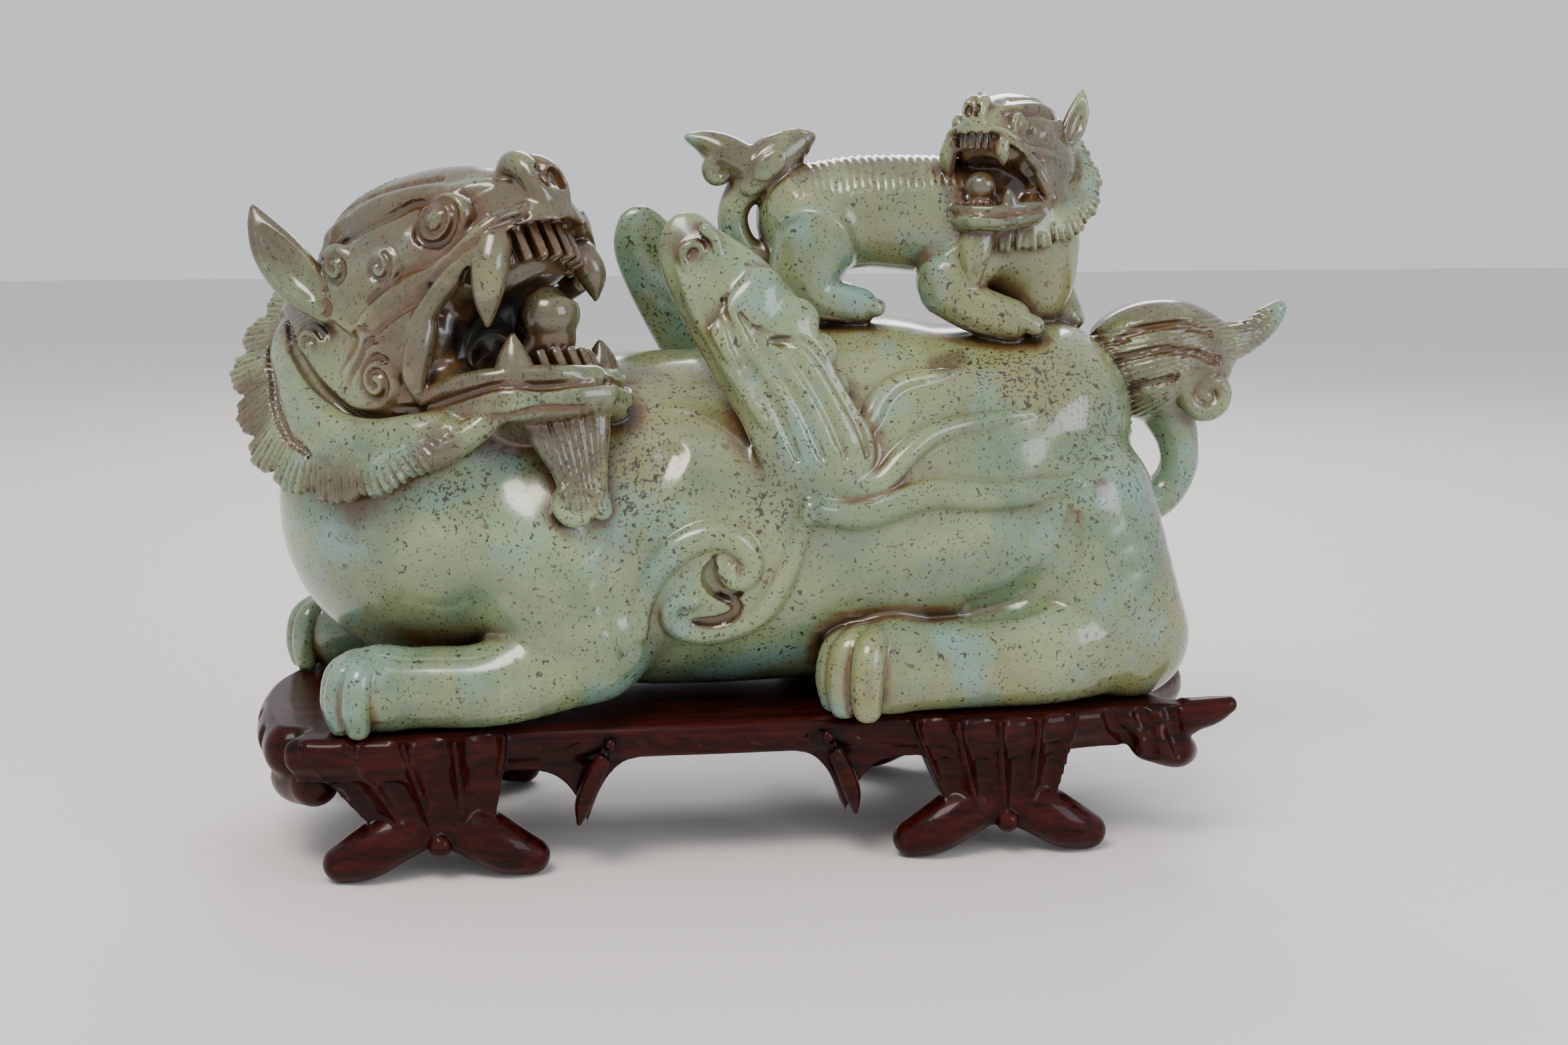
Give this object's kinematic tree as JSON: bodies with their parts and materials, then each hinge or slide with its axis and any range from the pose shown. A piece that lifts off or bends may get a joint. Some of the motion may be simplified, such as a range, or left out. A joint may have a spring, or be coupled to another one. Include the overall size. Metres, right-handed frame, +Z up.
{
  "type": "stone guardian lion sculpture on a wood stand",
  "caption": "Carved jade guardian lion lying with its head turned back, a cub standing on its rump, on a carved and lacquered hardwood stand.",
  "frame": {"origin": "on the floor under the middle of the whole, at the underside of the stand's toes", "axes": "+X along the lion's body from its chest to its tail, -Y towards the side that its head turns to, +Z up"},
  "size_m": [0.296, 0.1069, 0.2038],
  "materials": {
    "carved_jade": "polished translucent celadon stone with brown skin",
    "lacquered_rosewood": "dark red-brown gloss lacquer"
  },
  "bodies": {
    "root": {"jade_lion_with_cub": "carved_jade", "carved_wood_stand": "lacquered_rosewood"}
  },
  "joints": []
}
